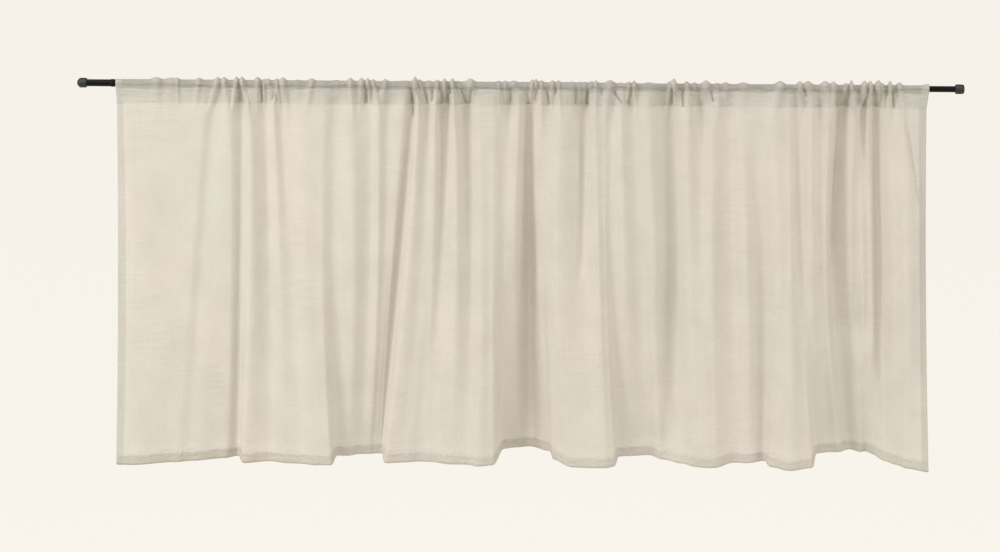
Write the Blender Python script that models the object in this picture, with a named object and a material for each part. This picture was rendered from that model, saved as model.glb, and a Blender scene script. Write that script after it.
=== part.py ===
# Linen window valance gathered on a tension rod.
# Metres. X runs along the rod from the left end cap's outer face, Z is up and
# the front of the cloth faces -Y. The rod's axis is the X axis.

from collections import namedtuple

import bpy
import numpy as np

for old in list(bpy.data.objects):
    bpy.data.objects.remove(old, do_unlink=True)

MM = 0.001

# Rod: a wide tube on the left with a narrower one sliding in it, and two rubber caps
ROD_LENGTH = 1348 * MM
OUTER_R = 5.30 * MM
OUTER_BORE = 4.98 * MM
INNER_R = 4.65 * MM
INNER_BORE = 4.30 * MM
TUBE_MOUTH = 800 * MM
TUBE_OVERLAP = 120 * MM
BEAD_FROM, BEAD_TO, BEAD_R = 51.5 * MM, 57.0 * MM, 5.95 * MM
CAP_R = 7.45 * MM
LEFT_CAP_LENGTH = 14.4 * MM
RIGHT_CAP_LENGTH = 13.7 * MM
CAP_FLOOR = 5.0 * MM
GAP = 0.3 * MM
SIDES = 32

# Panel: one cut piece with a casing for the rod, narrow side hems and a bottom hem
CLOTH = 1.3 * MM
HEM_CLOTH = 1.9 * MM
SEAM_DROP = 30 * MM
HEM_DROP = 590 * MM
STITCH = 3 * MM
SIDE_HEM = 9.5 * MM
BOTTOM_HEM = 14 * MM
ON_ROD = 0.66 * MM
HEM_LIFT = 0.215
SLACK = 22 * MM

# Heading: shares of the gathers' rise that draw the seam up and push the front out, the
# lean of the gathers at the front and how it changes round the rod, the run over which
# the casing steps down past the wide tube's mouth, and the spread of its two ends
SEAM_RISE = 0.45
FRONT_RISE = 0.12
FRONT_LEAN = 0.9
LEAN_FROM, LEAN_CHANGE = 0.8, 2.2
PAST_MOUTH, STEP_DOWN = 3 * MM, 18 * MM
LEFT_SPREAD, RIGHT_SPREAD, SPREAD_REACH = 1.5 * MM, 3.0 * MM, 50 * MM

# Levels of the panel's rows between the seam and the hem, as shares of that height
LEVELS = (0.09, 0.22, 0.38, 0.54, 0.70, 0.86)
MID_LEVEL = 0.48
RING_STEPS = 6
COLUMN_STEP = 13.9 * MM

# Fold lines of the hanging cloth, left to right, in millimetres. head, mid and hem
# are the line's distances along the rod at the seam, half way down and at the hem;
# the out columns say how far it stands forward of the rod's axis at those heights.
Fold = namedtuple("Fold", "head mid hem out_head out_mid out_hem")
FOLDS = (
    Fold(60, 59, 55, 0, 4, 24),
    Fold(81, 87, 78, 2, 8, 25),
    Fold(191, 169, 146, 1, 5, 14),
    Fold(209, 187, 169, -4, 1, 9),
    Fold(230, 230, 221, 2, 1, -1),
    Fold(250, 246, 241, -6, -8, -10),
    Fold(261, 261, 249, 5, 9, 16),
    Fold(283, 290, 292, -5, -4, 8),
    Fold(297, 307, 316, 3, 8, 15),
    Fold(308, 324, 338, -3, 4, 16),
    Fold(346, 347, 360, 3, 8, 21),
    Fold(373, 370, 387, 3, 6, 21),
    Fold(394, 390, 394, -4, -5, -13),
    Fold(411, 418, 409, 3, 6, -12),
    Fold(443, 443, 431, -6, -6, -19),
    Fold(455, 456, 442, 3, 1, -19),
    Fold(472, 466, 452, -5, -6, -21),
    Fold(495, 477, 459, 3, -7, -22),
    Fold(511, 486, 463, -6, -17, -22),
    Fold(518, 502, 468, 6, 9, 13),
    Fold(531, 526, 504, -6, 2, 9),
    Fold(542, 539, 520, 4, 1, 5),
    Fold(560, 552, 541, -16, -6, 7),
    Fold(573, 576, 569, 4, 9, 15),
    Fold(592, 598, 596, -13, -4, 15),
    Fold(611, 615, 613, 5, 10, 22),
    Fold(629, 631, 636, 4, 6, 17),
    Fold(658, 652, 653, -9, -7, -41),
    Fold(671, 666, 670, 3, -9, -46),
    Fold(688, 688, 693, -13, -44, -49),
    Fold(700, 708, 724, 3, -14, -34),
    Fold(716, 721, 729, -3, 3, -4),
    Fold(734, 733, 756, 4, 11, 22),
    Fold(774, 777, 792, -15, 0, 24),
    Fold(785, 796, 809, 5, 9, 24),
    Fold(801, 806, 824, 2, 3, 18),
    Fold(813, 815, 831, -3, -5, -17),
    Fold(825, 835, 849, 3, 3, -19),
    Fold(839, 860, 878, -6, -8, -23),
    Fold(865, 882, 898, 5, 2, -7),
    Fold(900, 912, 927, -13, -21, 6),
    Fold(924, 936, 949, 5, 9, 18),
    Fold(949, 956, 969, -8, 6, 21),
    Fold(965, 968, 979, 5, 7, 20),
    Fold(991, 993, 1009, -4, -9, 1),
    Fold(1007, 1022, 1031, 4, 5, 3),
    Fold(1033, 1044, 1057, 4, -10, -6),
    Fold(1053, 1072, 1062, 5, 10, 15),
    Fold(1081, 1089, 1094, 2, 8, 29),
    Fold(1095, 1105, 1129, -5, -4, 18),
    Fold(1115, 1122, 1140, 4, 4, -33),
    Fold(1130, 1137, 1161, -4, -4, -38),
    Fold(1143, 1145, 1175, 4, 1, -37),
    Fold(1166, 1158, 1192, -21, -34, -46),
    Fold(1180, 1192, 1207, 4, -10, -38),
    Fold(1195, 1203, 1217, -14, -17, -42),
    Fold(1202, 1212, 1224, -1, -14, -33),
    Fold(1212, 1229, 1242, -14, -33, -9),
    Fold(1234, 1249, 1258, 1, 3, 4),
    Fold(1255, 1268, 1275, 4, 12, 18),
    Fold(1291, 1298, 1307, 0, -2, 29),
)

# Gathers of the casing on the rod, in millimetres: where each stands along the rod,
# half its width, how far it rises off the rod and how far it leans down the front.
Gather = namedtuple("Gather", "at half rise lean")
GATHERS = (
    Gather(134, 20, 4.0, 6),
    Gather(173, 20, 2.6, -4),
    Gather(219, 10, 4.7, 8),
    Gather(246, 9, 4.1, 6),
    Gather(271, 9, 3.5, -5),
    Gather(304, 11, 4.6, 5),
    Gather(356, 10, 2.7, 5),
    Gather(416, 10, 3.2, -6),
    Gather(437, 9, 4.9, 6),
    Gather(468, 9, 3.5, 7),
    Gather(514, 9, 6.9, 6),
    Gather(556, 10, 6.5, -4),
    Gather(599, 9, 4.6, -5),
    Gather(657, 11, 3.5, 4),
    Gather(695, 11, 6.8, 5),
    Gather(722, 13, 2.4, 5),
    Gather(784, 10, 2.9, -4),
    Gather(809, 11, 4.6, 5),
    Gather(842, 9, 4.9, -6),
    Gather(906, 12, 7.6, -5),
    Gather(955, 12, 4.2, 6),
    Gather(1006, 10, 3.0, 4),
    Gather(1066, 14, 4.3, -5),
    Gather(1096, 14, 3.6, 6),
    Gather(1143, 16, 3.3, 4),
    Gather(1176, 12, 5.9, -7),
    Gather(1204, 14, 7.6, 3),
    Gather(1242, 14, 4.9, 8),
    Gather(1283, 13, 1.4, 0),
)


def painted(name, colour, roughness, metallic=0.0):
    """A plain Principled material."""
    material = bpy.data.materials.new(name)
    material.use_nodes = True
    shader = material.node_tree.nodes["Principled BSDF"]
    shader.inputs["Base Color"].default_value = (*colour, 1)
    shader.inputs["Roughness"].default_value = roughness
    shader.inputs["Metallic"].default_value = metallic
    return material


def node(name, points, faces, material, smooth_deg=40):
    """A named object from its points and faces."""
    mesh = bpy.data.meshes.new(name)
    mesh.from_pydata([tuple(map(float, p)) for p in points], [], faces)
    mesh.validate()
    mesh.materials.append(material)
    mesh.shade_smooth()
    mesh.set_sharp_from_angle(angle=np.radians(smooth_deg))
    obj = bpy.data.objects.new(name, mesh)
    bpy.context.scene.collection.objects.link(obj)
    return obj


def turned(name, profile, material):
    """A solid turned about the X axis from (along, radius) points. A profile that
    starts and ends on the axis is a cup or a plug; any other is a closed loop."""
    angles = np.arange(SIDES) * 2 * np.pi / SIDES
    points, rings = [], []
    for along, radius in profile:
        start = len(points)
        if radius == 0:
            points.append((along, 0, 0))
            rings.append([start] * SIDES)
        else:
            points += [(along, radius * np.cos(a), radius * np.sin(a)) for a in angles]
            rings.append(list(range(start, start + SIDES)))
    faces = []
    on_axis = profile[0][1] == 0
    pairs = list(zip(rings, rings[1:] if on_axis else rings[1:] + rings[:1]))
    for ring, after in pairs:
        for i in range(SIDES):
            j = (i + 1) % SIDES
            face = [ring[i], after[i], after[j], ring[j]]
            faces.append(list(dict.fromkeys(face)))
    return node(name, points, faces, material)


# Tubes and caps
black_tube = painted("black_tube", (0.018, 0.017, 0.016), 0.42)
black_rubber = painted("black_rubber", (0.014, 0.014, 0.014), 0.62)

outer_from = CAP_FLOOR + GAP
turned(
    "outer_tube",
    [
        (outer_from, OUTER_R),
        (BEAD_FROM - 1.0 * MM, OUTER_R),
        (BEAD_FROM, BEAD_R),
        (BEAD_TO - 1.0 * MM, BEAD_R),
        (BEAD_TO, OUTER_R),
        (TUBE_MOUTH, OUTER_R),
        (TUBE_MOUTH, OUTER_BORE),
        (outer_from, OUTER_BORE),
    ][::-1],
    black_tube,
)
inner_to = ROD_LENGTH - CAP_FLOOR - GAP
inner_from = TUBE_MOUTH - TUBE_OVERLAP
turned(
    "inner_tube",
    [
        (inner_from, INNER_BORE),
        (inner_to, INNER_BORE),
        (inner_to, INNER_R),
        (inner_from, INNER_R),
    ],
    black_tube,
)


def cap(name, end, inward, length, edge, bore):
    """A rubber cup over a tube's end. end is the outer face's place along the rod,
    inward is +1 or -1, and edge lists the outer corner's (along, radius) points."""
    profile = [(0, 0), *edge, (length - 1.2 * MM, CAP_R), (length, CAP_R - 1.2 * MM)]
    profile += [(length, bore), (CAP_FLOOR, bore), (CAP_FLOOR, 0)]
    placed = [(end + inward * along, radius) for along, radius in profile]
    return turned(name, placed[::-1] if inward > 0 else placed, black_rubber)


left_edge = [(0, 3.2 * MM), (0.5 * MM, 4.0 * MM), (3.6 * MM, 7.1 * MM), (4.6 * MM, CAP_R)]
right_edge = [(0, 4.8 * MM), (0.8 * MM, 6.4 * MM), (2.4 * MM, CAP_R)]
cap("left_cap", 0, 1, LEFT_CAP_LENGTH, left_edge, OUTER_R + GAP)
cap("right_cap", ROD_LENGTH, -1, RIGHT_CAP_LENGTH, right_edge, INNER_R + GAP)

# Linen panel
lines = np.array(FOLDS, float) * MM
gathers = np.array(GATHERS, float) * MM

# Places across the cloth where the two side hems end
side_hems = (
    SIDE_HEM / (lines[1, 1] - lines[0, 1]),
    len(lines) - 1 - SIDE_HEM / (lines[-1, 1] - lines[-2, 1]),
)


def between(top, middle, foot, level):
    """A smooth run down the cloth through three heights: seam, mid level and hem."""
    m = MID_LEVEL
    at_top = (level - m) * (level - 1) / m
    at_middle = level * (level - 1) / (m * (m - 1))
    at_foot = level * (level - m) / (1 - m)
    return top * at_top + middle * at_middle + foot * at_foot


def columns():
    """Places across the cloth, as fold number plus the share of the way to the next,
    closer together where the hem runs in and out. Both side hems get their own."""
    run = np.diff(lines, axis=0)
    lengths = np.maximum(np.hypot(run[:, 2], run[:, 5]), 1.2 * np.hypot(run[:, 0], run[:, 3]))
    counts = np.maximum(1, np.round(lengths / COLUMN_STEP)).astype(int)
    places = [k + np.arange(n) / n for k, n in enumerate(counts)]
    return np.unique(np.concatenate([*places, [len(lines) - 1], side_hems]))


def hung(places, level):
    """(x, y, z) of the middle of the cloth at places across it, level 0 at the seam
    and 1 at the hem. Between two fold lines the cloth runs along half a cosine."""
    k = np.minimum(places.astype(int), len(lines) - 2)
    share = places - k
    ease = 0.5 - 0.5 * np.cos(np.pi * share)
    x = between(lines[:, 0], lines[:, 1], lines[:, 2], level)
    out = between(lines[:, 3], lines[:, 4], lines[:, 5], level)
    x = x[k] + (x[k + 1] - x[k]) * share
    out_here = out[k] + (out[k + 1] - out[k]) * ease
    out_hem = lines[k, 5] + (lines[k + 1, 5] - lines[k, 5]) * ease
    drawn_up = HEM_LIFT * (SLACK - out_hem) * level
    seam = SEAM_DROP - SEAM_RISE * risen(x, 0.0)
    z = -seam - (HEM_DROP - seam) * level + drawn_up
    return np.stack([x, -out_here, z], axis=-1)


def risen(x, down):
    """How far the gathers lift the casing off the rod at x. down is how far down the
    front the place lies, as a share, which lets each gather lean."""
    centre = gathers[:, 0] + gathers[:, 3] * (down - 0.3)
    off = np.clip(np.abs(x[:, None] - centre) / gathers[:, 1], 0, 1)
    return (gathers[:, 2] * (0.5 + 0.5 * np.cos(np.pi * off))).max(axis=1)


def casing(seam):
    """Rows of the casing's middle, from above the seam up the front, over the rod and
    down the back. Each section is a loop round the rod drawn to a point at the seam."""
    x, y, z = seam.T
    reach = np.clip((x - TUBE_MOUTH - PAST_MOUTH) / STEP_DOWN, 0, 1)
    loop = OUTER_R + (INNER_R - OUTER_R) * reach + ON_ROD + CLOTH / 2
    far = np.hypot(y, z)
    to_seam = np.arctan2(z, y)
    open_by = np.arccos(loop / far)
    first = to_seam - open_by
    turn = 2 * np.pi - 2 * open_by
    spread = RIGHT_SPREAD * np.clip(1 - (x[-1] - x) / SPREAD_REACH, 0, 1) ** 2
    spread -= LEFT_SPREAD * np.clip(1 - (x - x[0]) / SPREAD_REACH, 0, 1) ** 2
    rows = []
    for step in range(RING_STEPS + 1):
        share = step / RING_STEPS
        angle = first - turn * share
        radius = loop + risen(x, LEAN_FROM - LEAN_CHANGE * share) * fade(share)
        rows.append(np.stack([x + spread, radius * np.cos(angle), radius * np.sin(angle)], -1))
    front = seam + (rows[0] - seam) * 0.5
    front[:, 1] -= FRONT_RISE * risen(x, FRONT_LEAN)
    back = seam + (rows[-1] - seam) * 0.5
    return [front, *rows, back]


def fade(share):
    """How much of a gather's rise is left round the loop: all of it at the front and
    the top, and a third at the back."""
    return np.interp(share, [0, 0.15, 0.55, 0.85, 1], [0.45, 0.8, 1, 0.45, 0.3])


def thickness(places, above_hem):
    """Cloth, or folded cloth in the side hems and the bottom hem."""
    at_side = (places <= side_hems[0]) | (places >= side_hems[1])
    folded = at_side | (above_hem < BOTTOM_HEM)
    return np.where(folded, HEM_CLOTH, CLOTH)


across = columns()
count = len(across)
height = HEM_DROP - SEAM_DROP
hem_levels = (1 - (BOTTOM_HEM + 1 * MM) / height, 1 - BOTTOM_HEM / height + 1e-4, 1.0)
levels = [*hem_levels[::-1], *LEVELS[::-1], STITCH / height, 0.0]
middle = [hung(across, level) for level in levels]
thick = [thickness(across, (1 - level) * height) for level in levels]
seam_row = len(levels) - 1
middle += casing(middle[seam_row])
thick += [np.full(count, CLOTH)] * (len(middle) - len(thick))
middle = np.array(middle)
thick = np.array(thick)

down = np.gradient(middle, axis=0)
side = np.gradient(middle, axis=1)
normal = np.cross(side, down)
normal /= np.linalg.norm(normal, axis=2, keepdims=True)
front_skin = middle + normal * thick[..., None] / 2
back_skin = middle - normal * thick[..., None] / 2

# Inside corner of the casing, where its two layers part above the seam
to_rod = middle[seam_row + 1] + middle[-1] - 2 * middle[seam_row]
spread = np.linalg.norm(middle[seam_row + 1] - middle[-1], axis=1)
leg = np.linalg.norm(middle[seam_row + 1] - middle[seam_row], axis=1)
to_rod /= np.linalg.norm(to_rod, axis=1, keepdims=True)
corner = CLOTH / 2 * (2 * leg / spread)
back_skin[seam_row] = middle[seam_row] + to_rod * np.minimum(corner, 0.4 * leg)[:, None]

rows = len(middle)
points = np.concatenate([front_skin.reshape(-1, 3), back_skin.reshape(-1, 3)])


def front_at(row, column):
    """Front skin's vertex. One row past the last, it is the back skin below the seam."""
    if row == rows:
        return back_at(seam_row - 1, column)
    return row * count + column


def back_at(row, column):
    """Back skin's vertex. One row past the last, the casing's inside closes on itself."""
    if row == rows:
        row = seam_row
    return rows * count + row * count + column


faces = []
for c in range(count - 1):
    for r in range(rows):
        faces.append([front_at(r, c), front_at(r, c + 1), front_at(r + 1, c + 1), front_at(r + 1, c)])
        if r != seam_row - 1:
            faces.append([back_at(r, c), back_at(r + 1, c), back_at(r + 1, c + 1), back_at(r, c + 1)])
    faces.append([front_at(0, c + 1), front_at(0, c), back_at(0, c), back_at(0, c + 1)])
for c, turn in ((0, 1), (count - 1, -1)):
    for r in range(rows):
        faces.append([front_at(r, c), front_at(r + 1, c), back_at(r + 1, c), back_at(r, c)][::turn])

linen = painted("natural_linen", (0.62, 0.55, 0.44), 0.95)
node("linen_panel", points, faces, linen, 60)
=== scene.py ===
"""Linen window valance gathered on a tension rod: the finished look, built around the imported
model. Metres; X runs along the rod from the left end, Z is up, and the front faces -Y."""

from collections import namedtuple

import bpy
import numpy as np
from mathutils import Matrix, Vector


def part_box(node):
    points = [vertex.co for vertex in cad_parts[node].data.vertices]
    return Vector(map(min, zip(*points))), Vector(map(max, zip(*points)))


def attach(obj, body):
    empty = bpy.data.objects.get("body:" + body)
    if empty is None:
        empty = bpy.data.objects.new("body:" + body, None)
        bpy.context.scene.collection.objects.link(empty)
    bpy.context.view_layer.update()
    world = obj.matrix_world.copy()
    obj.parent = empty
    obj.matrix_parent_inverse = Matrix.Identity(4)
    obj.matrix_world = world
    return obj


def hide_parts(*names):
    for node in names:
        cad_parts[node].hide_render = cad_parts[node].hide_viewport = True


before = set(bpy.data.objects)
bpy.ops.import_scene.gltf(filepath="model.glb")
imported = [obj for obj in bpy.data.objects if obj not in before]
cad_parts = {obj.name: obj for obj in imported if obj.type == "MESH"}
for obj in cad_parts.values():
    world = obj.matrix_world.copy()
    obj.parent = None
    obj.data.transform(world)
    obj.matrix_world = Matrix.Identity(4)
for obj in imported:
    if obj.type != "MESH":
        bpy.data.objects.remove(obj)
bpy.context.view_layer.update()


# Camera
# A long lens looking slightly down on the valance. The frame is tipped by under half a
# degree, which is why the rod falls a little to the right.
MM = 0.001
rod_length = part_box("right_cap")[1][0]
aim = np.array([0.4781 * rod_length, 0.0, -294.5 * MM])
camera_reach = 6.0
camera_pitch = np.radians(11.0)
camera_tip = np.radians(0.433)
photo_width_at_rod = 1520 * MM
sensor_width = 36 * MM

forward = np.array([0, np.cos(camera_pitch), -np.sin(camera_pitch)])
level_up = np.array([0, np.sin(camera_pitch), np.cos(camera_pitch)])
right = np.array([1, 0, 0]) * np.cos(camera_tip) + level_up * np.sin(camera_tip)
up = np.cross(right, forward)
rod_distance = camera_reach + aim[2] * np.sin(camera_pitch)

camera = bpy.data.cameras.new("camera")
camera.sensor_width = sensor_width / MM
camera.lens = camera.sensor_width * rod_distance / photo_width_at_rod
camera.clip_end = 100
camera_object = bpy.data.objects.new("camera", camera)
turn = Matrix([[*row] for row in np.stack([right, up, -forward], axis=1)]).to_4x4()
camera_object.matrix_world = Matrix.Translation(aim - forward * camera_reach) @ turn
bpy.context.scene.collection.objects.link(camera_object)
bpy.context.scene.camera = camera_object


# Tension rod
# Two coated steel tubes, the right one sliding in the left one. The left tube has a rolled
# bead just outside the cloth. Both are satin black.
tube_sides = 64
tube_round = 0.45 * MM


def surface(name, points, uv=None, closed_u=False, closed_v=False):
    """A mesh of quads over a grid of points shaped (rows, columns, 3). closed_u joins the
    last column to the first, closed_v the last row to the first. uv holds the same grid's
    texture places in metres."""
    rows, cols = points.shape[:2]
    r = np.arange(rows if closed_v else rows - 1)[:, None]
    c = np.arange(cols if closed_u else cols - 1)[None, :]
    r_next, c_next = (r + 1) % rows, (c + 1) % cols
    quads = np.stack(
        [r * cols + c, r * cols + c_next, r_next * cols + c_next, r_next * cols + c], axis=-1
    ).reshape(-1, 4)
    mesh = bpy.data.meshes.new(name)
    mesh.from_pydata(points.reshape(-1, 3), [], quads)
    if uv is not None:
        layer = mesh.uv_layers.new(name="cloth")
        corners = np.empty(len(mesh.loops), np.int32)
        mesh.loops.foreach_get("vertex_index", corners)
        layer.data.foreach_set("uv", uv.reshape(-1, 2)[corners].astype(np.float32).ravel())
    mesh.shade_smooth()
    piece = bpy.data.objects.new(name, mesh)
    bpy.context.scene.collection.objects.link(piece)
    return piece


def rounded(profile, radius, steps=4):
    """A closed loop of (along, radius) points with each corner cut back along both its
    sides and filled by a quadratic curve through the two cuts, bent towards the corner."""
    loop = np.array(profile, float)
    before, after = np.roll(loop, 1, axis=0) - loop, np.roll(loop, -1, axis=0) - loop
    reach = [np.minimum(radius, 0.45 * np.linalg.norm(s, axis=1)) for s in (before, after)]
    start = loop + before / np.linalg.norm(before, axis=1)[:, None] * reach[0][:, None]
    end = loop + after / np.linalg.norm(after, axis=1)[:, None] * reach[1][:, None]
    t = np.linspace(0, 1, steps + 1)[None, :, None]
    bend = start[:, None] * (1 - t) ** 2 + loop[:, None] * 2 * t * (1 - t) + end[:, None] * t**2
    return bend.reshape(-1, 2)


def turned(name, profile, radius):
    """A ring-shaped solid: the rounded (along, radius) loop carried round the X axis."""
    loop = rounded(profile, radius)
    angle = np.linspace(0, 2 * np.pi, tube_sides, endpoint=False)[None, :]
    along, out = loop[:, :1], loop[:, 1:]
    points = np.stack([along + 0 * angle, out * np.cos(angle), out * np.sin(angle)], axis=-1)
    piece = surface(name, points, closed_u=True, closed_v=True)
    mesh = piece.data
    corners = np.empty(len(mesh.vertices) * 3)
    mesh.vertices.foreach_get("co", corners)
    faces = np.array([p.vertices[:] for p in mesh.polygons])
    a, b, c, d = corners.reshape(-1, 3)[faces].transpose(1, 0, 2)
    volume = np.sum(a * np.cross(b, c)) + np.sum(a * np.cross(c, d))
    if volume < 0:
        mesh.flip_normals()
    return piece


outer_low, outer_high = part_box("outer_tube")
inner_low, inner_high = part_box("inner_tube")
tube_wall = 0.35 * MM
bead_radius = (outer_high[2] - outer_low[2]) / 2
outer_radius = 5.30 * MM
inner_radius = (inner_high[2] - inner_low[2]) / 2
bead_from, bead_to, bead_slope = 51.5 * MM, 57.0 * MM, 1.0 * MM
mouth_wall = 0.32 * MM

outer_tube = turned(
    "outer_tube_finish",
    [
        (outer_low[0], outer_radius - tube_wall),
        (outer_low[0], outer_radius),
        (bead_from - bead_slope, outer_radius),
        (bead_from, bead_radius),
        (bead_to - bead_slope, bead_radius),
        (bead_to, outer_radius),
        (outer_high[0], outer_radius),
        (outer_high[0], outer_radius - mouth_wall),
    ],
    tube_round,
)
inner_tube = turned(
    "inner_tube_finish",
    [
        (inner_low[0], inner_radius - tube_wall),
        (inner_low[0], inner_radius),
        (inner_high[0], inner_radius),
        (inner_high[0], inner_radius - tube_wall),
    ],
    tube_round,
)


class Socket:
    """One output of a material's nodes. Python sums on it add Math nodes."""

    def __init__(self, tree, link):
        self.tree, self.link = tree, link

    def node(self, kind, settings, sockets, output=0):
        """A node of this kind: its settings first, then the values or links of its
        sockets by name or place. Gives back one of its outputs."""
        made = self.tree.nodes.new(kind)
        for name, value in settings.items():
            if name == "stops":
                ramp = made.color_ramp
                while len(ramp.elements) < len(value):
                    ramp.elements.new(0.5)
                for element, (place, colour) in zip(ramp.elements, value):
                    element.position, element.color = place, (*colour, 1)
            else:
                setattr(made, name, value)
        for name, value in sockets.items():
            socket = made.inputs[name]
            if isinstance(value, Socket):
                self.tree.links.new(value.link, socket)
            elif hasattr(value, "__len__") and len(socket.default_value) == 4:
                socket.default_value = (*value, 1)[:4]
            else:
                socket.default_value = value
        return Socket(self.tree, made.outputs[output])

    def maths(self, operation, *values):
        return self.node("ShaderNodeMath", {"operation": operation}, dict(enumerate(values)))

    def __add__(self, other):
        return self.maths("ADD", self, other)

    def __sub__(self, other):
        return self.maths("SUBTRACT", self, other)

    def __rsub__(self, other):
        return self.maths("SUBTRACT", other, self)

    def __mul__(self, other):
        return self.maths("MULTIPLY", self, other)

    __radd__, __rmul__ = __add__, __mul__

    def clamped(self):
        """The value kept from 0 to 1."""
        return self.node("ShaderNodeClamp", {}, {"Value": self})

    def above(self, low, high):
        """0 under low, 1 over high and a smooth rise between them."""
        ease = {"interpolation_type": "SMOOTHSTEP"}
        return self.node(
            "ShaderNodeMapRange", ease, {"Value": self, "From Min": low, "From Max": high}
        )

    def near(self, middle, half):
        """1 where the value is at the middle, falling straight to 0 at half either side."""
        off = self.maths("ABSOLUTE", self - middle)
        return (1 - off * (1 / half)).clamped()

    def mixed(self, first, second):
        """The first colour where this value is 0, the second where it is 1."""
        return self.node(
            "ShaderNodeMix", {"data_type": "RGBA"}, {0: self, 6: first, 7: second}, 2
        )

    def noise(self, per_metre, detail=2, roughness=0.5):
        """Noise over this vector, with so many patches to the metre along each axis."""
        stretched = self.node(
            "ShaderNodeVectorMath", {"operation": "MULTIPLY"}, {0: self, 1: per_metre}
        )
        return self.node(
            "ShaderNodeTexNoise",
            {},
            {"Vector": stretched, "Scale": 1.0, "Detail": detail, "Roughness": roughness},
        )


def finish(name):
    """A new material with its Principled shader and output left in place."""
    material = bpy.data.materials.new(name)
    material.use_nodes = True
    tree = material.node_tree
    shader = tree.nodes["Principled BSDF"]
    output = tree.nodes["Material Output"]
    return material, tree, shader, output, Socket(tree, None)


def tube_black():
    """Satin black coating: fine orange-peel in the bump, and rub marks along the tube that
    shine a little more."""
    material, tree, shader, output, start = finish("tube_black")
    place = start.node("ShaderNodeTexCoord", {}, {}, 3)
    peel = place.noise((900, 900, 900), 3)
    rubbed = place.noise((14, 420, 420), 3).above(0.52, 0.72)
    dust = place.noise((160, 160, 160), 4, 0.6).above(0.55, 0.8)
    colour = (rubbed * 0.5 + dust * 0.5).mixed((0.005, 0.0045, 0.004), (0.014, 0.013, 0.0115))
    height = peel * 1.0 + rubbed * -0.2
    bump = start.node(
        "ShaderNodeBump", {}, {"Strength": 0.25, "Distance": 0.12 * MM, "Height": height}
    )
    tree.links.new(colour.link, shader.inputs["Base Color"])
    tree.links.new((0.40 - rubbed * 0.10 + dust * 0.16).link, shader.inputs["Roughness"])
    tree.links.new(bump.link, shader.inputs["Normal"])
    shader.inputs["Specular IOR Level"].default_value = 0.07
    return material


coating = tube_black()
for piece, node in ((outer_tube, "outer_tube"), (inner_tube, "inner_tube")):
    piece.data.materials.append(coating)
    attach(piece, "root")
    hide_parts(node)


# End caps
# Moulded rubber cups pushed over the tubes' ends, which grip the sides of the window. The
# left one has a deep bevel round its end face, the right one a short rounded edge.
cap_floor = 5.0 * MM
cap_fit = 0.3 * MM
left_low, left_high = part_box("left_cap")
right_low, right_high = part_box("right_cap")
cap_radius = (left_high[2] - left_low[2]) / 2
face_hollow = 0.35 * MM
floor_round = 0.3 * MM
mouth_wide, mouth_deep = 0.35 * MM, 0.4 * MM
cap_lathe_sides = 72

# The rounded rim round a cap's mouth: how far each corner lies from the open end, and how
# far inside the cap's radius.
cap_rim = [(1.4 * MM, 0.0), (0.35 * MM, 0.4 * MM), (0.0, 1.3 * MM)]


def cap(name, end, inward, length, edge, bore):
    """A cup turned about the X axis: its (along, radius) profile from the middle of the
    end face, round the bevel, along the side and back up the bore to the middle. Both
    ends are a small ring closed by one face."""
    middle = 0.25 * MM
    profile = [
        (face_hollow, middle),
        (face_hollow, edge[0][1] * 0.55),
        (0.0, edge[0][1] * 0.75),
        *edge,
        *[(length - back, cap_radius - inside) for back, inside in cap_rim],
        (length, bore + mouth_wide),
        (length - mouth_deep, bore),
        (cap_floor + floor_round, bore),
        (cap_floor, bore - floor_round),
        (cap_floor, middle),
    ]
    corner = np.array(profile)
    steps = np.linspace(0, 1, 4)[:-1]
    dense = corner[:-1, None] + (corner[1:] - corner[:-1])[:, None] * steps[None, :, None]
    dense = np.concatenate([dense.reshape(-1, 2), corner[-1:]])
    for _ in range(2):
        dense[1:-1] = 0.25 * dense[:-2] + 0.5 * dense[1:-1] + 0.25 * dense[2:]
    angle = np.linspace(0, 2 * np.pi, cap_lathe_sides, endpoint=False)[None, :]
    along, out = end + inward * dense[:, :1], dense[:, 1:]
    points = np.stack([along + 0 * angle, out * np.cos(angle), out * np.sin(angle)], axis=-1)
    if inward < 0:
        points = points[:, ::-1]
    piece = surface(name, points, closed_u=True)
    ends = bpy.data.meshes.new(name)
    count = cap_lathe_sides
    quads = [list(p.vertices) for p in piece.data.polygons]
    last = len(dense) - 1
    lids = [list(range(count))[::-1], [last * count + i for i in range(count)]]
    ends.from_pydata([v.co[:] for v in piece.data.vertices], [], quads + lids)
    ends.shade_smooth()
    piece.data = ends
    return piece


left_cap = cap(
    "left_cap_finish",
    left_low[0],
    1,
    left_high[0] - left_low[0],
    [(0, 3.2 * MM), (0.5 * MM, 4.0 * MM), (3.6 * MM, 7.1 * MM), (4.6 * MM, cap_radius)],
    outer_radius + cap_fit,
)
right_cap = cap(
    "right_cap_finish",
    right_high[0],
    -1,
    right_high[0] - right_low[0],
    [(0, 4.8 * MM), (0.8 * MM, 6.4 * MM), (2.4 * MM, cap_radius)],
    inner_radius + cap_fit,
)


def cap_rubber():
    """Matt black rubber: a fine moulded grain, and scuffs that have gone greyer."""
    material, tree, shader, output, start = finish("cap_rubber")
    place = start.node("ShaderNodeTexCoord", {}, {}, 3)
    grain = place.noise((1400, 1400, 1400), 2)
    scuff = place.noise((260, 260, 260), 4, 0.65).above(0.5, 0.75)
    colour = scuff.mixed((0.005, 0.005, 0.0048), (0.015, 0.0145, 0.0135))
    bump = start.node(
        "ShaderNodeBump", {}, {"Strength": 0.5, "Distance": 0.2 * MM, "Height": grain + scuff * 0.4}
    )
    tree.links.new(colour.link, shader.inputs["Base Color"])
    tree.links.new((0.56 + scuff * 0.16).link, shader.inputs["Roughness"])
    tree.links.new(bump.link, shader.inputs["Normal"])
    return material


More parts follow.
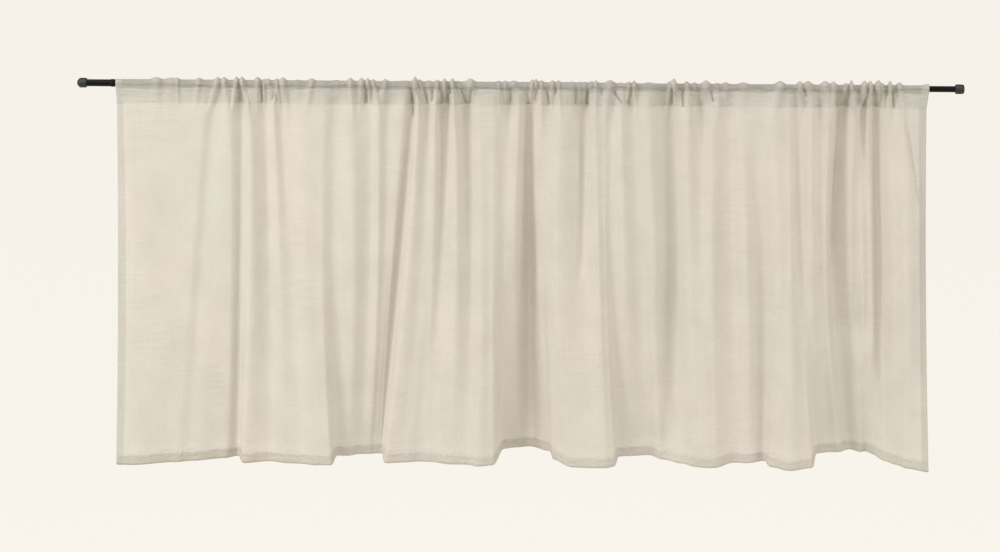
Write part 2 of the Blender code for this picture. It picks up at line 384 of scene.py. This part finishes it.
rubber = cap_rubber()
for piece, node in ((left_cap, "left_cap"), (right_cap, "right_cap")):
    piece.data.materials.append(rubber)
    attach(piece, "root")
    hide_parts(node)


# Linen panel
# One cut piece of sheer linen. Its top is turned over to the back and sewn down as a casing
# for the rod; the sides and the foot have narrow turned hems. It hangs from the rod only.
seam_drop = 30 * MM
hem_drop = 590 * MM
side_hem = 9.5 * MM
bottom_hem = 14 * MM
hem_lift = 0.215
seam_lift = 0.35
slack = 22 * MM
mid_level = 0.48
on_rod = 0.8 * MM
layer_gap = 0.7 * MM
tube_mouth = outer_high[0] + 3 * MM
tube_step = 18 * MM
left_spread, right_spread, spread_reach = 1.5 * MM, 3.0 * MM, 50 * MM
edge_round, foot_round = 0.35 * MM, 0.5 * MM
foot_layer = 2.4 * layer_gap
seam_fall = seam_drop + outer_radius + on_rod
column_step = 1.55 * MM
first_row, last_row = 2.5 * MM, 15 * MM
loop_steps = 20
front_steps = 13
back_steps = 5
rounding_passes = 6

# Fold lines, left to right, in millimetres. head, mid and hem are a line's distances along
# the rod at the seam, about half way down and at the hem; the out columns say how far it
# stands forward of the rod's axis there.
Fold = namedtuple("Fold", "head mid hem out_head out_mid out_hem")
FOLDS = (
    Fold(60, 59, 55, 0, 4, 24),
    Fold(81, 87, 78, 2, 8, 25),
    Fold(191, 169, 146, 1, 5, 14),
    Fold(209, 187, 169, -4, 1, 9),
    Fold(230, 230, 221, 2, 1, -1),
    Fold(250, 246, 241, -6, -8, -10),
    Fold(261, 261, 249, 5, 9, 16),
    Fold(283, 290, 292, -5, -4, 8),
    Fold(297, 307, 316, 3, 8, 15),
    Fold(308, 324, 338, -3, 4, 16),
    Fold(346, 347, 360, 3, 8, 21),
    Fold(373, 370, 387, 3, 6, 21),
    Fold(394, 390, 394, -4, -5, -13),
    Fold(411, 418, 409, 3, 6, -12),
    Fold(443, 443, 431, -6, -6, -19),
    Fold(455, 456, 442, 3, 1, -19),
    Fold(472, 466, 452, -5, -6, -21),
    Fold(495, 477, 459, 3, -7, -22),
    Fold(511, 486, 463, -6, -17, -22),
    Fold(518, 502, 468, 6, 9, 13),
    Fold(531, 526, 504, -6, 2, 9),
    Fold(542, 539, 520, 4, 1, 5),
    Fold(560, 552, 541, -16, -6, 7),
    Fold(573, 576, 569, 4, 9, 15),
    Fold(592, 598, 596, -13, -4, 15),
    Fold(611, 615, 613, 5, 10, 22),
    Fold(629, 631, 636, 4, 6, 17),
    Fold(658, 652, 653, -9, -7, -41),
    Fold(671, 666, 670, 3, -9, -46),
    Fold(688, 688, 693, -13, -44, -49),
    Fold(700, 708, 724, 3, -14, -34),
    Fold(716, 721, 729, -3, 3, -4),
    Fold(734, 733, 756, 4, 11, 22),
    Fold(774, 777, 792, -15, 0, 24),
    Fold(785, 796, 809, 5, 9, 24),
    Fold(801, 806, 824, 2, 3, 18),
    Fold(813, 815, 831, -3, -5, -17),
    Fold(825, 835, 849, 3, 3, -19),
    Fold(839, 860, 878, -6, -8, -23),
    Fold(865, 882, 898, 5, 2, -7),
    Fold(900, 912, 927, -13, -21, 6),
    Fold(924, 936, 949, 5, 9, 18),
    Fold(949, 956, 969, -8, 6, 21),
    Fold(965, 968, 979, 5, 7, 20),
    Fold(991, 993, 1009, -4, -9, 1),
    Fold(1007, 1022, 1031, 4, 5, 3),
    Fold(1033, 1044, 1057, 4, -10, -6),
    Fold(1053, 1072, 1062, 5, 10, 15),
    Fold(1081, 1089, 1094, 2, 8, 29),
    Fold(1095, 1105, 1129, -5, -4, 18),
    Fold(1115, 1122, 1140, 4, 4, -33),
    Fold(1130, 1137, 1161, -4, -4, -38),
    Fold(1143, 1145, 1175, 4, 1, -37),
    Fold(1166, 1158, 1192, -21, -34, -46),
    Fold(1180, 1192, 1207, 4, -10, -38),
    Fold(1195, 1203, 1217, -14, -17, -42),
    Fold(1202, 1212, 1224, -1, -14, -33),
    Fold(1212, 1229, 1242, -14, -33, -9),
    Fold(1234, 1249, 1258, 1, 3, 4),
    Fold(1255, 1268, 1275, 4, 12, 18),
    Fold(1291, 1298, 1307, 0, -2, 29),
)

# Gathers of the heading, in millimetres: where each stands along the rod, half its width,
# how far it rises off the rod, how far it leans on its way down to the seam, the share of
# its rise that is left there (over 1 where it grows), and how far below the seam it dies
# out.
Gather = namedtuple("Gather", "at half rise lean left trail")
GATHERS = (
    Gather(120, 12, 3.6, 2, 0.3, 20),
    Gather(143, 16, 2.8, 0, 0.3, 20),
    Gather(152, 5, 3.4, 1, 0.3, 15),
    Gather(185, 7, 3.2, -5, 0.3, 25),
    Gather(213, 8, 4.6, -9, 0.6, 30),
    Gather(223, 7, 4.6, 5, 0.6, 40),
    Gather(242, 5, 6.2, -5, 0.6, 30),
    Gather(250, 6, 6.2, 8, 0.7, 50),
    Gather(274, 7, 5.6, 0, 0.5, 30),
    Gather(284, 4, 2.6, 0, 1.0, 20),
    Gather(289, 7, 2.6, 9, 0.9, 40),
    Gather(303, 4.5, 3.0, 3, 0.9, 30),
    Gather(312, 8, 5.0, 5, 0.7, 50),
    Gather(335, 9, 0.9, -1, 0.5, 20),
    Gather(356, 8, 3.3, -6, 0.5, 30),
    Gather(393, 7, 1.2, 7, 1.2, 20),
    Gather(415, 7, 5.0, 3, 0.7, 50),
    Gather(432, 6, 5.6, -1, 0.5, 25),
    Gather(441, 5, 5.0, 4, 0.6, 40),
    Gather(449, 5, 3.0, 9, 1.0, 60),
    Gather(468, 6, 3.5, -4, 0.7, 30),
    Gather(498, 14, 0.8, 0, 1.0, 30),
    Gather(513, 6, 8.0, 6, 0.5, 40),
    Gather(520, 5, 3.0, 10, 1.0, 50),
    Gather(534, 5, 1.5, 1, 1.5, 30),
    Gather(547, 5, 3.0, -1, 1.0, 60),
    Gather(558, 4.5, 6.6, 0, 0.4, 30),
    Gather(570, 4.5, 6.2, 2, 0.9, 60),
    Gather(578, 5, 1.0, 10, 2.5, 30),
    Gather(590, 6, 1.0, 0, 2.0, 15),
    Gather(597, 10, 6.0, 4, 0.8, 60),
    Gather(640, 5, 1.8, 3, 1.2, 40),
    Gather(650, 4, 2.6, 2, 0.8, 30),
    Gather(663, 9, 2.4, 6, 0.8, 30),
    Gather(691, 5, 5.4, -2, 0.9, 50),
    Gather(697, 5, 5.2, 0, 0.3, 10),
    Gather(705, 6, 3.2, 1, 1.2, 60),
    Gather(722, 5, 3.6, -2, 0.8, 30),
    Gather(731, 5, 3.0, 3, 0.8, 40),
    Gather(742, 9, 0.7, 0, 1.0, 30),
    Gather(752, 6, 1.4, -1, 1.5, 30),
    Gather(764, 6, 1.6, 2, 1.5, 40),
    Gather(771, 4, 1.8, 0, 1.2, 10),
    Gather(781, 5, 2.4, 0, 1.5, 60),
    Gather(788, 5, 3.6, 0, 0.8, 30),
    Gather(810, 10, 4.8, -4, 0.7, 40),
    Gather(826, 6, 1.0, 6, 2.5, 20),
    Gather(838, 5, 3.0, -4, 1.0, 20),
    Gather(846, 5, 5.0, 3, 0.8, 50),
    Gather(868, 12, 1.6, 0, 0.8, 30),
    Gather(900, 5, 5.0, -2, 0.8, 40),
    Gather(906, 7, 10.0, 6, 0.5, 60),
    Gather(926, 6, 3.8, 4, 1.2, 60),
    Gather(938, 5, 2.4, 1, 1.0, 30),
    Gather(955, 10, 6.0, 0, 0.7, 40),
    Gather(972, 6, 1.5, 3, 1.6, 30),
    Gather(985, 8, 3.2, 2, 0.5, 25),
    Gather(1012, 12, 2.8, 0, 0.4, 25),
    Gather(1068, 12, 5.4, -6, 0.5, 40),
    Gather(1098, 7, 6.2, 2, 0.8, 60),
    Gather(1110, 11, 5.6, 6, 0.7, 50),
    Gather(1136, 11, 6.2, 2, 0.7, 50),
    Gather(1149, 8, 5.8, 2, 0.8, 50),
    Gather(1168, 6, 3.8, -6, 0.8, 30),
    Gather(1176, 5, 8.2, 5, 0.6, 60),
    Gather(1196, 7, 8.6, -4, 0.6, 40),
    Gather(1205, 6, 7.6, 3, 0.7, 60),
    Gather(1217, 8, 9.8, 0, 0.3, 20),
    Gather(1223, 5, 4.0, 2, 1.0, 50),
    Gather(1235, 5, 7.4, 0, 0.6, 40),
    Gather(1249, 7, 4.8, 6, 0.8, 50),
    Gather(1290, 12, 2.4, 0, 0.8, 60),
)

# Creases, in millimetres: the places along the rod where each starts and ends, how far
# below the top of the rod it starts and ends, half its width, and how far it stands out of
# the cloth, or into it where that is under zero.
Crease = namedtuple("Crease", "top foot start end half out")
CREASES = (
    Crease(246, 247, 2, 37, 4.0, -6),
    Crease(279, 280, 2, 37, 2.4, -5),
    Crease(297, 297, 20, 35, 3, -3),
    Crease(303, 304, 18, 35, 3, -3),
    Crease(439, 438, 5, 37, 4.5, -6),
    Crease(457, 457, 5, 20, 3, -3),
    Crease(507, 511, 4, 62, 3.2, -8),
    Crease(513, 522, 5, 34, 2, -3),
    Crease(525, 532, 8, 35, 2.6, -4),
    Crease(540, 540, 6, 35, 3, -4),
    Crease(555, 554, 14, 35, 3, -4),
    Crease(563, 563, 14, 36, 3.5, -5),
    Crease(567, 567, 4, 21, 2.4, -4),
    Crease(581, 592, 7, 37, 2.4, -4),
    Crease(599, 597, 4, 37, 2.8, -5),
    Crease(659, 659, 8, 35, 4, -3.5),
    Crease(672, 689, 26, 36, 2, -3),
    Crease(691, 696, 150, 615, 18, -14),
    Crease(697, 698, 4, 36, 3.8, -6),
    Crease(712, 719, 8, 39, 2.6, -4),
    Crease(727, 727, 4, 20, 2.8, -3),
    Crease(758, 756, 6, 37, 2.8, -4),
    Crease(771, 768, 50, 320, 8, -5),
    Crease(775, 776, 3, 43, 3, -7),
    Crease(796, 797, 5, 22, 3, -3),
    Crease(811, 830, 6, 36, 2.2, -4),
    Crease(843, 836, 6, 36, 2.8, -4),
    Crease(896, 914, 250, 615, 34, -12),
    Crease(905, 903, 2, 37, 3.6, -6),
    Crease(919, 922, 4, 41, 2.6, -5.5),
    Crease(961, 968, 6, 32, 2.2, -4),
    Crease(1104, 1110, 4, 22, 2.6, -4),
    Crease(1109, 1108, 22, 37, 3, -2.5),
    Crease(1153, 1155, 6, 37, 3.2, -5),
    Crease(1163, 1153, 70, 290, 9, -7),
    Crease(1175, 1169, 6, 34, 3.5, -4.5),
    Crease(1182, 1199, 45, 440, 11, -10),
    Crease(1186, 1186, 18, 35, 3, -3),
    Crease(1186, 1192, 290, 620, 27, -9),
    Crease(1201, 1197, 14, 37, 3, -5),
    Crease(1202, 1216, 45, 440, 9, -8),
    Crease(1214, 1216, 2, 37, 2.8, -5.5),
    Crease(1230, 1231, 2, 20, 2.6, -3),
    Crease(1237, 1242, 3, 39, 2.6, -5),
    Crease(1258, 1284, 40, 200, 5, -5),
)
lines = np.array(FOLDS, float) * MM
gathers = np.array(GATHERS, float)
gathers[:, [0, 1, 2, 3, 5]] *= MM
creases = np.array(CREASES, float) * MM


def between(top, middle, foot, level):
    """A smooth run down the cloth: the quadratic through its values at the seam, at
    mid_level and at the hem."""
    m = mid_level
    at_top = (level - m) * (level - 1) / m
    at_middle = level * (level - 1) / (m * (m - 1))
    at_foot = level * (level - m) / (1 - m)
    return top * at_top + middle * at_middle + foot * at_foot


def across_cloth():
    """Places across the cloth, each a fold number plus the share of the way to the next,
    as close together as the heading's creases need, or the hem where it runs in and out."""
    run = np.diff(lines, axis=0)
    lengths = np.maximum(0.6 * np.hypot(run[:, 2], run[:, 5]), run[:, 0])
    counts = np.maximum(3, np.round(lengths / column_step)).astype(int)
    places = [k + np.arange(n) / n for k, n in enumerate(counts)]
    return np.concatenate([*places, [len(lines) - 1]])


def hump(off):
    """A soft hump: 1 in the middle, down to 0 at a distance of 1 along half a cosine."""
    return 0.5 + 0.5 * np.cos(np.pi * np.clip(np.abs(off), 0, 1))


def relief(x, drop):
    """How far the cloth stands out at x, so far below the top of the rod: the largest of
    the gathers there, which lean, shrink or grow down to the seam and fade out below it,
    plus every crease, which comes in over the first third of its length and ends over the
    last fifth."""
    x, drop = (a[..., None] for a in np.broadcast_arrays(x, drop))
    at, half, rise, lean, left, trail = gathers.T
    way = np.clip(drop / seam_fall, 0, 1)
    below = np.clip((drop - seam_fall) / trail, 0, 1)
    share = (1 + (left - 1) * way) * (1 - below) ** 2
    risen = (rise * share * hump((x - at - lean * (way + below)) / half)).max(axis=-1)
    top, foot, start, end, half, out = creases.T
    way = np.clip((drop - start) / (end - start), 0, 1)
    share = hump(1 - np.clip(3 * way, 0, 1)) * hump(1 - np.clip(5 * (1 - way), 0, 1))
    return risen + (out * share * hump((x - top - (foot - top) * way) / half)).sum(axis=-1)


def hung(places, levels):
    """The cloth from seam to hem, as a grid (levels, places). Between two fold lines it
    runs along half a cosine; further back it is drawn up a little at the hem, and the
    gathers draw up the seam."""
    level = levels[:, None]
    k = np.minimum(places.astype(int), len(lines) - 2)
    share = places - k
    ease = 0.5 - 0.5 * np.cos(np.pi * share)
    x = between(lines[:, 0], lines[:, 1], lines[:, 2], level)
    out = between(lines[:, 3], lines[:, 4], lines[:, 5], level)
    x = x[:, k] + (x[:, k + 1] - x[:, k]) * share
    out_here = out[:, k] + (out[:, k + 1] - out[:, k]) * ease
    out_hem = lines[k, 5] + (lines[k + 1, 5] - lines[k, 5]) * ease
    drawn_up = hem_lift * (slack - out_hem) * level
    seam = seam_drop - seam_lift * np.clip(relief(x[-1:], seam_fall), 0, None)
    z = -seam - (hem_drop - seam) * level + drawn_up
    out_here = out_here + relief(x, -z - seam_drop + seam_fall)
    return np.stack([x, -out_here, z], axis=-1)


def casing(seam):
    """The casing from the seam up the front, over the rod and down the back to the seam
    again. Each section is an arc round the rod, closed by two straight runs that are
    tangents from the seam. The gathers and creases lift it and press it in, but never
    further in than the tube, and behind the rod they fade. The casing spreads a little
    along the rod at both edges of the cloth, and steps down on to the thinner tube."""
    x, y, z = seam.T
    y = y + relief(x, seam_fall)
    reach = np.clip((x - tube_mouth) / tube_step, 0, 1)
    loop = outer_radius + (inner_radius - outer_radius) * reach + on_rod
    far = np.hypot(y, z)
    open_by = np.arccos(loop / far)
    first = np.arctan2(z, y) - open_by
    share = np.linspace(0, 1, loop_steps + 1)[:, None]
    angle = first - (2 * np.pi - 2 * open_by) * share
    drop = np.where(angle < -1.5 * np.pi, 0, loop * (1 - np.sin(angle)))
    behind = np.interp(share, [0, 0.45, 0.6, 0.85, 1], [1, 1, 0.8, 0.35, 0.2])
    lift = np.clip(relief(x + 0 * share, drop), 0, None) * behind
    edges = right_spread * np.clip(1 - (x[-1] - x) / spread_reach, 0, 1) ** 2
    edges -= left_spread * np.clip(1 - (x - x[0]) / spread_reach, 0, 1) ** 2
    radius = loop + lift
    arc = np.stack([x + edges + 0 * share, radius * np.cos(angle), radius * np.sin(angle)], -1)
    start = np.stack([x + edges, loop * np.cos(first), loop * np.sin(first)], axis=-1)
    climb = np.linspace(0, 1, front_steps + 2)[1:-1, None, None]
    front = np.stack([x, y, z], axis=-1) * (1 - climb) + start * climb
    away = 1 - climb[..., 0]
    stands = relief(x + 0 * away, drop[0] + (seam_fall - drop[0]) * away)
    room = np.hypot(loop, away * np.sqrt(far**2 - loop**2)) - loop
    stands = np.maximum(stands, -room)
    facing = np.stack([0 * x, np.cos(first), np.sin(first)], axis=-1)
    front += (facing * climb + [0, -1, 0] * (1 - climb)) * stands[..., None]
    climb = np.linspace(0, 1, back_steps + 2)[1:, None, None]
    back = arc[-1] + (seam - arc[-1]) * climb
    return np.concatenate([front, arc, back])


def normals(grid):
    """Unit normals of a grid, from the cross product of its two directions."""
    facing = np.cross(np.gradient(grid, axis=1), np.gradient(grid, axis=0))
    return facing / np.linalg.norm(facing, axis=2, keepdims=True)


places = across_cloth()
fall = hem_drop - seam_drop
rows_down = int(round(2 * (fall - bottom_hem) / (first_row + last_row)))
hem_rows = 5
step = np.linspace(last_row, first_row, rows_down)
levels = np.concatenate(
    [
        1 - np.linspace(0, bottom_hem, hem_rows) / fall,
        (1 - bottom_hem / fall) * (1 - np.cumsum(step) / step.sum()),
    ]
)
body = hung(places, levels)

# The folds are rounded across, most at the hem, where the cloth hangs free.
rounder = body.copy()
for _ in range(rounding_passes):
    beside = rounder[:, :-2] + rounder[:, 2:]
    rounder[:, 1:-1] = 0.25 * beside + 0.5 * rounder[:, 1:-1]
body += (rounder - body) * levels[:, None, None]
grid = np.concatenate([body, casing(body[-1])])

# The turned hems lie behind the cloth: the same rows and columns again, in reverse order
# and a layer further back, joined to the cloth round its edge.
facing = normals(grid)
run = np.linalg.norm(np.diff(grid, axis=1), axis=2)[: len(levels)].mean(axis=0)
left_columns = int(np.searchsorted(np.cumsum(run), side_hem)) + 2
right_columns = int(np.searchsorted(np.cumsum(run[::-1]), side_hem)) + 2
behind = grid - facing * layer_gap
grid = np.concatenate(
    [
        behind[:, 1:left_columns][:, ::-1],
        grid[:, :1] - facing[:, :1] * layer_gap / 2 - [edge_round, 0, 0],
        grid,
        grid[:, -1:] - facing[:, -1:] * layer_gap / 2 + [edge_round, 0, 0],
        behind[:, -right_columns:-1][:, ::-1],
    ],
    axis=1,
)
facing = normals(grid)
facing[:, :left_columns] = facing[:, left_columns : left_columns + 1]
facing[:, -right_columns:] = facing[:, -right_columns - 1 : -right_columns]
behind = grid[:hem_rows] - facing[:hem_rows] * foot_layer
turn_row = grid[:1] - facing[:1] * foot_layer / 2 - [0, 0, foot_round]
grid = np.concatenate([behind[1:][::-1], turn_row, grid])

# The threads follow the cloth, so texture places are measured along it: across by the
# hem's length, and down by the length of the rows' mean path.
step_across = np.linalg.norm(np.diff(grid[hem_rows + 1], axis=0), axis=1)
step_down = np.linalg.norm(np.diff(grid, axis=0), axis=2).mean(axis=1)
cloth_u = np.concatenate([[0], np.cumsum(step_across)])
cloth_v = np.concatenate([[0], np.cumsum(step_down)])
uv = np.stack(np.meshgrid(cloth_u, cloth_v), axis=-1)
panel = surface("linen_panel_cloth", grid, uv)
off_rod = np.hypot(grid[..., 1], grid[..., 2]) - outer_radius
stored = panel.data.attributes.new("off_rod", "FLOAT", "POINT")
stored.data.foreach_set("value", off_rod.astype(np.float32).ravel())
hem_fold = cloth_v[hem_rows - 1]
hem_stitching = cloth_v[2 * hem_rows - 1] - 1.5 * MM
seam_stitching = cloth_v[hem_rows + len(levels) - 1]
rod_line = seam_stitching + seam_drop + 4 * MM
left_edge, right_edge = cloth_u[left_columns - 1], cloth_u[-right_columns]
left_hem, right_hem = 2 * left_edge, 2 * right_edge - cloth_u[-1]
stitch_length, stitch_half = 2.6 * MM, 0.45 * MM
yarn_pitch_across, yarn_pitch_down = 0.62 * MM, 0.66 * MM


def linen():
    """Sheer plain-weave linen. Yarns of uneven thickness run down and across, so the tone
    and the openness change in thin streaks both ways. The natural colour drifts slowly from
    warmer to greener, and a few seeds are darker. Part of the light passes between the
    yarns and part of it is scattered through them. Painted shade makes the hem's fold and the two
    rows of stitches a little darker. Painted light makes the casing and the hems paler where
    their layers lie together, and painted shade darkens the casing where it lies on the black
    rod, in place of the rod showing through.
    The hem and the casing are crumpled, and parts of the cloth have fine cross creases."""
    material, tree, shader, output, start = finish("natural_linen")
    place = start.node("ShaderNodeUVMap", {"uv_map": "cloth"}, {})
    down_yarn = place.noise((520, 12, 0), 2, 0.6)
    across_yarn = place.noise((11, 560, 0), 2, 0.6)
    cloud = place.noise((26, 18, 0), 3, 0.55)
    down_slub = place.noise((460, 26, 0), 1).above(0.62, 0.76)
    across_slub = place.noise((34, 480, 0), 1).above(0.62, 0.76)
    slub = down_slub * 0.7 + across_slub
    yarn = down_yarn * 0.55 + across_yarn * 0.45
    tone = ((yarn - 0.5) * 0.70 + (cloud - 0.5) * 0.9 + slub * 0.16 + 0.46).clamped()
    colour = tone.mixed((0.466, 0.435, 0.370), (0.650, 0.623, 0.556))
    drift = place.noise((7, 3.5, 0), 2)
    colour = (drift.above(0.50, 0.66) * 0.30).mixed(colour, (0.650, 0.560, 0.525))
    colour = ((1 - drift.above(0.36, 0.50)) * 0.30).mixed(colour, (0.540, 0.570, 0.465))
    seeds = place.noise((560, 260, 0), 1).above(0.745, 0.79)
    colour = (seeds * 0.45).mixed(colour, (0.26, 0.20, 0.14))
    across = start.node("ShaderNodeSeparateXYZ", {}, {"Vector": place})
    down = Socket(tree, across.link.node.outputs[1])
    # Painted shade: the stitch rows and the hem's fold are darkened in the colour, in place of the
    # shade in the stitches and the fold.
    dashes = across.maths("SINE", across * (2 * np.pi / stitch_length)).above(-0.5, 0.1)
    rows = down.near(hem_stitching, stitch_half) + down.near(seam_stitching, stitch_half)
    edge = down.near(hem_fold, 1.6 * MM)
    colour = (rows * dashes * 0.5 + edge * 0.45).clamped().mixed(colour, (0.36, 0.32, 0.26))
    # Painted light: the casing is made paler in the colour where its layers lie together.
    painted_layer_light = down.above(seam_stitching - 1 * MM, seam_stitching + 1 * MM)
    painted_layer_light = painted_layer_light - down.above(rod_line - 12 * MM, rod_line - 7 * MM)
    colour = (painted_layer_light * 0.45).mixed(colour, (0.71, 0.72, 0.69))
    crinkle = place.noise((45, 260, 0), 2)
    off_rod = start.node("ShaderNodeAttribute", {"attribute_name": "off_rod"}, {}, 2)
    # Painted shade: the cloth lying on the black rod is darkened in the colour, broken up by the
    # crinkles, in place of the rod showing through.
    painted_rod_shade = (1 - off_rod.above(1 * MM, 4.5 * MM)) * (crinkle * 0.5 - 0.07)
    colour = painted_rod_shade.clamped().mixed(colour, (0.20, 0.205, 0.21))
    # Painted light: the side hems are made paler and greyer, and the foot hem paler, more so from
    # 0.2 m to the right, where their layers lie together.
    at_side = 1 - across.above(left_hem - 1 * MM, left_hem + 1 * MM)
    at_side = at_side + across.above(right_hem - 1 * MM, right_hem + 1 * MM)
    colour = (at_side * 0.25).mixed(colour, (0.60, 0.66, 0.66))
    at_foot = 1 - down.above(hem_stitching + 1 * MM, hem_stitching + 2 * MM)
    painted_hem_light = at_foot * (across.above(0.20, 0.45) * 0.25 + 0.10)
    colour = painted_hem_light.mixed(colour, (0.72, 0.73, 0.72))
    tree.links.new(colour.link, shader.inputs["Base Color"])
    shader.inputs["Roughness"].default_value = 0.92
    shader.inputs["Specular IOR Level"].default_value = 0.12
    shader.inputs["Sheen Weight"].default_value = 0.10
    weave = across.maths("SINE", across * (2 * np.pi / yarn_pitch_across))
    weave = weave * down.maths("SINE", down * (2 * np.pi / yarn_pitch_down))
    pucker = place.noise((34, 13, 0), 2, 0.5)
    height = pucker * 0.8 + slub * 0.06 + (yarn - 0.5) * 0.12 + weave * 0.02
    height = height + down.near(hem_stitching, 16 * MM) * place.noise((130, 170, 0), 2) * 2.2
    height = height + down.near(rod_line, 26 * MM) * crinkle * 3.0
    creased = place.noise((7, 5, 0), 2).above(0.40, 0.60)
    height = height + creased * place.noise((30, 120, 0), 3, 0.6) * 1.1
    bump = start.node(
        "ShaderNodeBump", {}, {"Strength": 1.0, "Distance": 1 * MM, "Height": height}
    )
    tree.links.new(bump.link, shader.inputs["Normal"])
    warm = (0.720, 0.606, 0.446)
    through = start.node("ShaderNodeBsdfTranslucent", {}, {"Color": warm, "Normal": bump})
    front = Socket(tree, shader.outputs[0])
    body = start.node("ShaderNodeMixShader", {}, {0: 0.33, 1: front, 2: through})
    clear = start.node("ShaderNodeBsdfTransparent", {}, {})
    open_weave = (0.16 - (yarn - 0.5) * 0.10 - slub * 0.05).clamped()
    whole = start.node("ShaderNodeMixShader", {}, {0: open_weave, 1: body, 2: clear})
    tree.links.new(whole.link, output.inputs["Surface"])
    return material


panel.data.materials.append(linen())
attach(panel, "root")
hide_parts("linen_panel")


# Studio
# A plain pale floor well below the valance, lit by a soft high light and a softbox at each
# side.
floor_height = -3.2
floor_size = 140.0
floor = surface(
    "floor",
    np.array([[[x, y, 0] for x in (-1, 1)] for y in (-1, 1)]) * floor_size / 2
    + [aim[0], 0, floor_height],
)
pale = bpy.data.materials.new("pale_floor")
pale.use_nodes = True
matt = pale.node_tree.nodes["Principled BSDF"].inputs
matt["Base Color"].default_value = (0.957, 0.930, 0.875, 1)
matt["Roughness"].default_value = 0.9
matt["Specular IOR Level"].default_value = 0.1
floor.data.materials.append(pale)


def turned_to(towards):
    """The turn that points an object's Z axis this way, so that a light shines the other
    way along it."""
    z = np.array(towards) / np.linalg.norm(towards)
    x = np.cross([0, 0, 1], z)
    x /= np.linalg.norm(x)
    return Matrix([[*row] for row in np.stack([x, np.cross(z, x), z], axis=1)]).to_4x4()


sky = bpy.data.worlds.new("studio")
sky.use_nodes = True
sky.node_tree.nodes["Background"].inputs["Color"].default_value = (1.0, 0.995, 0.985, 1)
sky.node_tree.nodes["Background"].inputs["Strength"].default_value = 0.36
bpy.context.scene.world = sky

sun = bpy.data.lights.new("window_light", "SUN")
sun.energy = 2.15
sun.angle = np.radians(28)
sun.color = (1.0, 0.985, 0.96)
sun_object = bpy.data.objects.new("window_light", sun)
sun_object.matrix_world = turned_to([-0.15, -0.40, 0.90])
bpy.context.scene.collection.objects.link(sun_object)

# A softbox stands at each side, the left one brighter, so that the folds' hollows lie in
# shade from both.
for name, place, energy in (
    ("left_softbox", [-1.75, -1.55, 0.95], 65),
    ("right_softbox", [3.35, -1.75, 0.95], 40),
):
    softbox = bpy.data.lights.new(name, "AREA")
    softbox.shape = "SQUARE"
    softbox.size = 1.1
    softbox.energy = energy
    softbox.color = (0.99, 0.99, 1.0)
    softbox_object = bpy.data.objects.new(name, softbox)
    shines_from = turned_to(np.array(place) - aim)
    softbox_object.matrix_world = Matrix.Translation(place) @ shines_from
    bpy.context.scene.collection.objects.link(softbox_object)

bpy.context.scene.view_settings.view_transform = "Standard"
